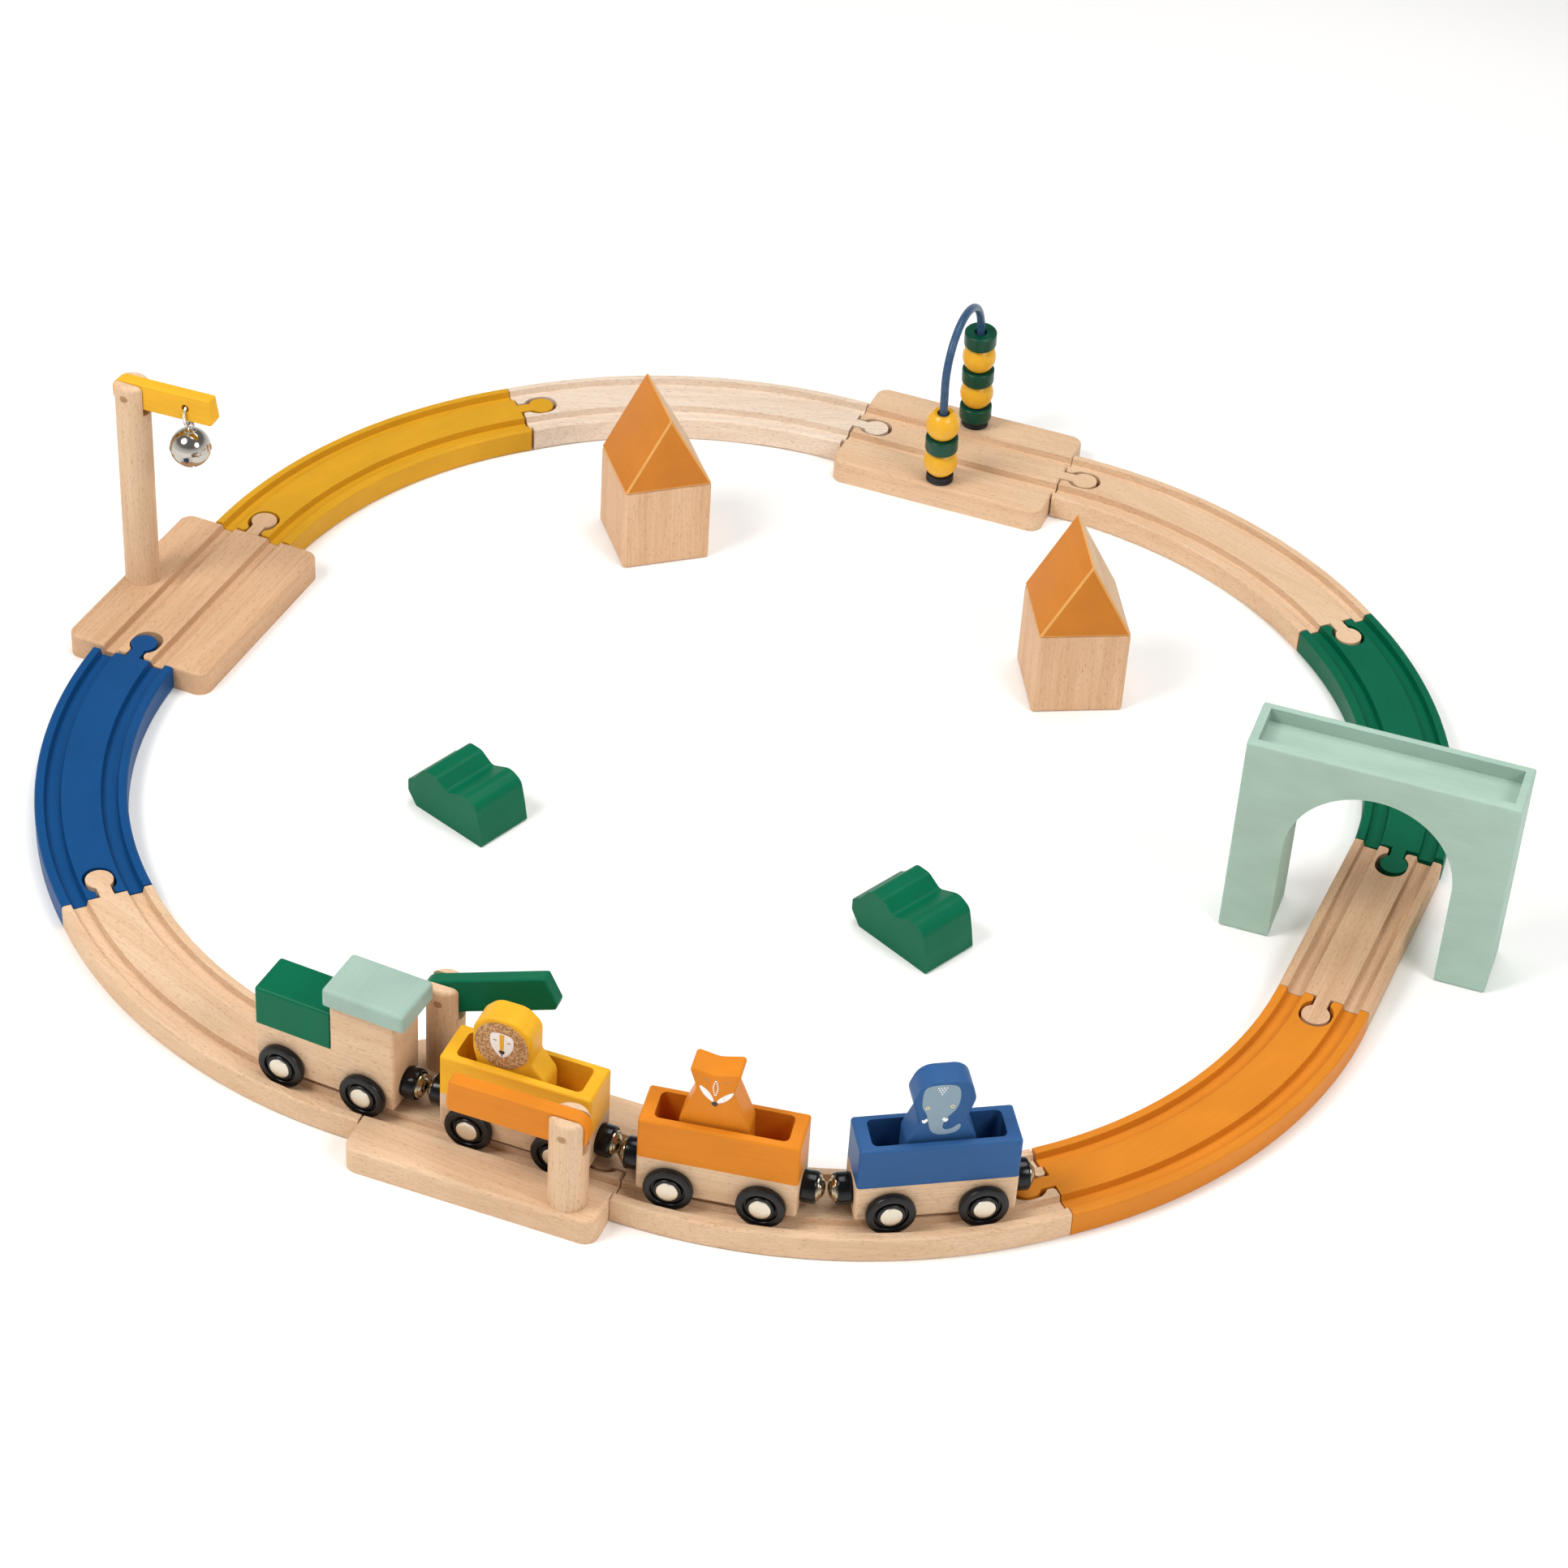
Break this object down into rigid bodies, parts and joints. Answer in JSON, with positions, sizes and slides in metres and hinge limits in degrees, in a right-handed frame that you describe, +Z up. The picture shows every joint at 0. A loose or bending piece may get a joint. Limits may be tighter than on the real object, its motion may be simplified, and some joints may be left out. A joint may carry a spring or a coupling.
{
  "type": "wooden train set",
  "caption": "Toy train with animal wagons on a loop of grooved wooden track, with a bell signal, bead wire, crossing gates, bridge, houses and bushes.",
  "frame": {"origin": "middle of the whole set's bounding box, on the floor", "axes": "+Z up, +X along the longer side of the loop towards the bridge, -Y the side where the train stands"},
  "size_m": [0.655, 0.606, 0.1234],
  "materials": {
    "beech": "smooth sanded",
    "yellow_paint": "painted",
    "blue_paint": "painted",
    "wagon_blue": "painted",
    "green_paint": "painted",
    "mint_paint": "painted",
    "orange_paint": "painted",
    "steel_wire": "painted",
    "link_wire": "satin",
    "bell_metal": "polished",
    "wheel": "gloss",
    "coupler": "gloss"
  },
  "bodies": {
    "crossing_platform": {"crossing_platform": "beech", "gate_posts": "beech"},
    "front_left_curve": {"front_left_curve": "beech"},
    "blue_curve": {"blue_curve": "blue_paint"},
    "bell_platform": {"bell_platform": "beech", "bell_post": "beech"},
    "yellow_curve": {"yellow_curve": "yellow_paint"},
    "back_left_curve": {"back_left_curve": "beech"},
    "bead_platform": {"bead_platform": "beech", "bead_wire": "steel_wire"},
    "back_right_curve": {"back_right_curve": "beech"},
    "green_curve": {"green_curve": "green_paint"},
    "plain_straight": {"plain_straight": "beech"},
    "orange_curve": {"orange_curve": "orange_paint"},
    "front_right_curve": {"front_right_curve": "beech"},
    "bell_arm": {"bell_arm": "yellow_paint"},
    "bell": {"bell_hanger": "link_wire", "jingle_bell": "bell_metal"},
    "near_gate_arm": {"near_gate_arm": "orange_paint"},
    "far_gate_arm": {"far_gate_arm": "green_paint"},
    "engine": {"engine_chassis": "beech", "engine_hood": "green_paint", "engine_cab": "beech", "engine_roof": "mint_paint", "engine_coupler": "coupler"},
    "yellow_wagon": {"yellow_wagon_chassis": "beech", "yellow_wagon_box": "yellow_paint", "yellow_wagon_couplers": "coupler"},
    "orange_wagon": {"orange_wagon_chassis": "beech", "orange_wagon_box": "orange_paint", "orange_wagon_couplers": "coupler"},
    "blue_wagon": {"blue_wagon_chassis": "beech", "blue_wagon_box": "wagon_blue", "blue_wagon_couplers": "coupler"},
    "lion": {"lion": "yellow_paint"},
    "fox": {"fox": "orange_paint"},
    "elephant": {"elephant": "wagon_blue"},
    "near_ball_1": {"near_ball_1": "yellow_paint"},
    "near_disc_2": {"near_disc_2": "green_paint"},
    "near_ball_3": {"near_ball_3": "yellow_paint"},
    "far_disc_1": {"far_disc_1": "green_paint"},
    "far_ball_2": {"far_ball_2": "yellow_paint"},
    "far_disc_3": {"far_disc_3": "green_paint"},
    "far_ball_4": {"far_ball_4": "yellow_paint"},
    "far_disc_5": {"far_disc_5": "green_paint"},
    "house_roof_1": {"house_roof_1": "orange_paint"},
    "house_block_1": {"house_block_1": "beech"},
    "house_roof_2": {"house_roof_2": "orange_paint"},
    "house_block_2": {"house_block_2": "beech"},
    "bridge": {"bridge": "mint_paint"},
    "bush_1": {"bush_1": "green_paint"},
    "bush_2": {"bush_2": "green_paint"},
    "engine_front_wheels": {"engine_front_wheels": "wheel"},
    "engine_rear_wheels": {"engine_rear_wheels": "wheel"},
    "yellow_wagon_front_wheels": {"yellow_wagon_front_wheels": "wheel"},
    "yellow_wagon_rear_wheels": {"yellow_wagon_rear_wheels": "wheel"},
    "orange_wagon_front_wheels": {"orange_wagon_front_wheels": "wheel"},
    "orange_wagon_rear_wheels": {"orange_wagon_rear_wheels": "wheel"},
    "blue_wagon_front_wheels": {"blue_wagon_front_wheels": "wheel"},
    "blue_wagon_rear_wheels": {"blue_wagon_rear_wheels": "wheel"}
  },
  "joints": [
    {"name": "bell_arm_raise", "type": "hinge", "parent": "bell_platform", "child": "bell_arm", "pos_m": [-0.31683, 0.00303, 0.11455], "axis": [-0.0471, -0.9989, 0], "range_deg": [0, 85]},
    {"name": "bell_swing", "type": "hinge", "parent": "bell_arm", "child": "bell", "pos_m": [-0.28791, 0.00167, 0.11607], "axis": [0.0471, 0.9989, 0], "range_deg": [-20, 20]},
    {"name": "near_gate_raise", "type": "hinge", "parent": "crossing_platform", "child": "near_gate_arm", "pos_m": [0.025, -0.2932, 0.05045], "axis": [0, 1, 0], "range_deg": [0, 85]},
    {"name": "far_gate_raise", "type": "hinge", "parent": "crossing_platform", "child": "far_gate_arm", "pos_m": [-0.051, -0.2408, 0.04905], "axis": [0, -1, 0], "range_deg": [-21.5, 63.5]},
    {"name": "engine_travel", "type": "hinge", "parent": "front_left_curve", "child": "engine", "pos_m": [-0.07202, -0.05004, 0.012], "axis": [0, 0, 1], "range_deg": [-11.6, 0]},
    {"name": "yellow_wagon_travel", "type": "slide", "parent": "crossing_platform", "child": "yellow_wagon", "axis": [-1, 0, 0], "range_m": [0, 0.0445]},
    {"name": "orange_wagon_travel", "type": "hinge", "parent": "front_right_curve", "child": "orange_wagon", "pos_m": [0.04527, -0.05006, 0.012], "axis": [0, 0, -1], "range_deg": [-8.2, 0]},
    {"name": "blue_wagon_travel", "type": "hinge", "parent": "front_right_curve", "child": "blue_wagon", "pos_m": [0.04527, -0.05006, 0.012], "axis": [0, 0, -1], "range_deg": [-8.2, 0]},
    {"name": "lion_lift", "type": "slide", "parent": "yellow_wagon", "child": "lion", "axis": [0, 0, 1], "range_m": [0, 0.03]},
    {"name": "fox_lift", "type": "slide", "parent": "orange_wagon", "child": "fox", "axis": [0, 0, 1], "range_m": [0, 0.03]},
    {"name": "elephant_lift", "type": "slide", "parent": "blue_wagon", "child": "elephant", "axis": [0, 0, 1], "range_m": [0, 0.03]},
    {"name": "near_ball_1_slide", "type": "slide", "parent": "bead_platform", "child": "near_ball_1", "axis": [0, -0.0872, 0.9962], "range_m": [0, 0.005]},
    {"name": "near_disc_2_slide", "type": "slide", "parent": "near_ball_1", "child": "near_disc_2", "axis": [0, -0.0872, 0.9962], "range_m": [0, 0.005]},
    {"name": "near_ball_3_slide", "type": "slide", "parent": "near_disc_2", "child": "near_ball_3", "axis": [0, -0.0872, 0.9962], "range_m": [0, 0.005]},
    {"name": "far_disc_1_slide", "type": "slide", "parent": "bead_platform", "child": "far_disc_1", "axis": [0, -0.0872, 0.9962], "range_m": [0, 0.0011]},
    {"name": "far_ball_2_slide", "type": "slide", "parent": "far_disc_1", "child": "far_ball_2", "axis": [0, -0.0872, 0.9962], "range_m": [0, 0.0011]},
    {"name": "far_disc_3_slide", "type": "slide", "parent": "far_ball_2", "child": "far_disc_3", "axis": [0, -0.0872, 0.9962], "range_m": [0, 0.0011]},
    {"name": "far_ball_4_slide", "type": "slide", "parent": "far_disc_3", "child": "far_ball_4", "axis": [0, -0.0872, 0.9962], "range_m": [0, 0.0011]},
    {"name": "far_disc_5_slide", "type": "slide", "parent": "far_ball_4", "child": "far_disc_5", "axis": [0, -0.0872, 0.9962], "range_m": [0, 0.0011]},
    {"name": "house_roof_1_lift", "type": "slide", "parent": "house_block_1", "child": "house_roof_1", "axis": [0, 0, 1], "range_m": [0, 0.025]},
    {"name": "house_roof_2_lift", "type": "slide", "parent": "house_block_2", "child": "house_roof_2", "axis": [0, 0, 1], "range_m": [0, 0.025]},
    {"name": "bridge_lift", "type": "slide", "parent": "crossing_platform", "child": "bridge", "axis": [0, 0, 1], "range_m": [0, 0.025]},
    {"name": "front_left_curve_lift", "type": "slide", "parent": "crossing_platform", "child": "front_left_curve", "axis": [0, 0, 1], "range_m": [0, 0.025]},
    {"name": "blue_curve_lift", "type": "slide", "parent": "crossing_platform", "child": "blue_curve", "axis": [0, 0, 1], "range_m": [0, 0.025]},
    {"name": "bell_platform_lift", "type": "slide", "parent": "crossing_platform", "child": "bell_platform", "axis": [0, 0, 1], "range_m": [0, 0.025]},
    {"name": "yellow_curve_lift", "type": "slide", "parent": "crossing_platform", "child": "yellow_curve", "axis": [0, 0, 1], "range_m": [0, 0.025]},
    {"name": "back_left_curve_lift", "type": "slide", "parent": "crossing_platform", "child": "back_left_curve", "axis": [0, 0, 1], "range_m": [0, 0.025]},
    {"name": "bead_platform_lift", "type": "slide", "parent": "crossing_platform", "child": "bead_platform", "axis": [0, 0, 1], "range_m": [0, 0.025]},
    {"name": "back_right_curve_lift", "type": "slide", "parent": "crossing_platform", "child": "back_right_curve", "axis": [0, 0, 1], "range_m": [0, 0.025]},
    {"name": "green_curve_lift", "type": "slide", "parent": "crossing_platform", "child": "green_curve", "axis": [0, 0, 1], "range_m": [0, 0.025]},
    {"name": "plain_straight_lift", "type": "slide", "parent": "crossing_platform", "child": "plain_straight", "axis": [0, 0, 1], "range_m": [0, 0.025]},
    {"name": "orange_curve_lift", "type": "slide", "parent": "crossing_platform", "child": "orange_curve", "axis": [0, 0, 1], "range_m": [0, 0.0034]},
    {"name": "front_right_curve_lift", "type": "slide", "parent": "crossing_platform", "child": "front_right_curve", "axis": [0, 0, 1], "range_m": [0, 0.0018]},
    {"name": "house_block_1_lift", "type": "slide", "parent": "crossing_platform", "child": "house_block_1", "axis": [0, 0, 1], "range_m": [0, 0.025]},
    {"name": "house_block_2_lift", "type": "slide", "parent": "crossing_platform", "child": "house_block_2", "axis": [0, 0, 1], "range_m": [0, 0.025]},
    {"name": "bush_1_lift", "type": "slide", "parent": "crossing_platform", "child": "bush_1", "axis": [0, 0, 1], "range_m": [0, 0.025]},
    {"name": "bush_2_lift", "type": "slide", "parent": "crossing_platform", "child": "bush_2", "axis": [0, 0, 1], "range_m": [0, 0.025]},
    {"name": "engine_front_wheels_spin", "type": "hinge", "parent": "engine", "child": "engine_front_wheels", "pos_m": [-0.10554, -0.26443, 0.01905], "axis": [-0.0697, -0.9976, 0], "continuous": true},
    {"name": "engine_rear_wheels_spin", "type": "hinge", "parent": "engine", "child": "engine_rear_wheels", "pos_m": [-0.06863, -0.26701, 0.01905], "axis": [-0.0697, -0.9976, 0], "continuous": true},
    {"name": "yellow_wagon_front_wheels_spin", "type": "hinge", "parent": "yellow_wagon", "child": "yellow_wagon_front_wheels", "pos_m": [-0.0235, -0.267, 0.01905], "axis": [0, -1, 0], "continuous": true},
    {"name": "yellow_wagon_rear_wheels_spin", "type": "hinge", "parent": "yellow_wagon", "child": "yellow_wagon_rear_wheels", "pos_m": [0.0135, -0.267, 0.01905], "axis": [0, -1, 0], "continuous": true},
    {"name": "orange_wagon_front_wheels_spin", "type": "hinge", "parent": "orange_wagon", "child": "orange_wagon_front_wheels", "pos_m": [0.05937, -0.2666, 0.01905], "axis": [0.1498, -0.9887, 0], "continuous": true},
    {"name": "orange_wagon_rear_wheels_spin", "type": "hinge", "parent": "orange_wagon", "child": "orange_wagon_rear_wheels", "pos_m": [0.09595, -0.26106, 0.01905], "axis": [0.1498, -0.9887, 0], "continuous": true},
    {"name": "blue_wagon_front_wheels_spin", "type": "hinge", "parent": "blue_wagon", "child": "blue_wagon_front_wheels", "pos_m": [0.13908, -0.24573, 0.01905], "axis": [0.5076, -0.8616, 0], "continuous": true},
    {"name": "blue_wagon_rear_wheels_spin", "type": "hinge", "parent": "blue_wagon", "child": "blue_wagon_rear_wheels", "pos_m": [0.17096, -0.22695, 0.01905], "axis": [0.5076, -0.8616, 0], "continuous": true}
  ],
  "couplings": [
    {"joint": "yellow_wagon_travel", "follows": "engine_travel", "m_per_rad": -0.217},
    {"joint": "blue_wagon_travel", "follows": "orange_wagon_travel", "ratio": 1},
    {"joint": "engine_front_wheels_spin", "follows": "engine_travel", "ratio": -21.7},
    {"joint": "engine_rear_wheels_spin", "follows": "engine_travel", "ratio": -21.7},
    {"joint": "yellow_wagon_front_wheels_spin", "follows": "engine_travel", "ratio": -21.7},
    {"joint": "yellow_wagon_rear_wheels_spin", "follows": "engine_travel", "ratio": -21.7},
    {"joint": "orange_wagon_front_wheels_spin", "follows": "orange_wagon_travel", "ratio": 21.7},
    {"joint": "orange_wagon_rear_wheels_spin", "follows": "orange_wagon_travel", "ratio": 21.7},
    {"joint": "blue_wagon_front_wheels_spin", "follows": "orange_wagon_travel", "ratio": 21.7},
    {"joint": "blue_wagon_rear_wheels_spin", "follows": "orange_wagon_travel", "ratio": 21.7}
  ]
}
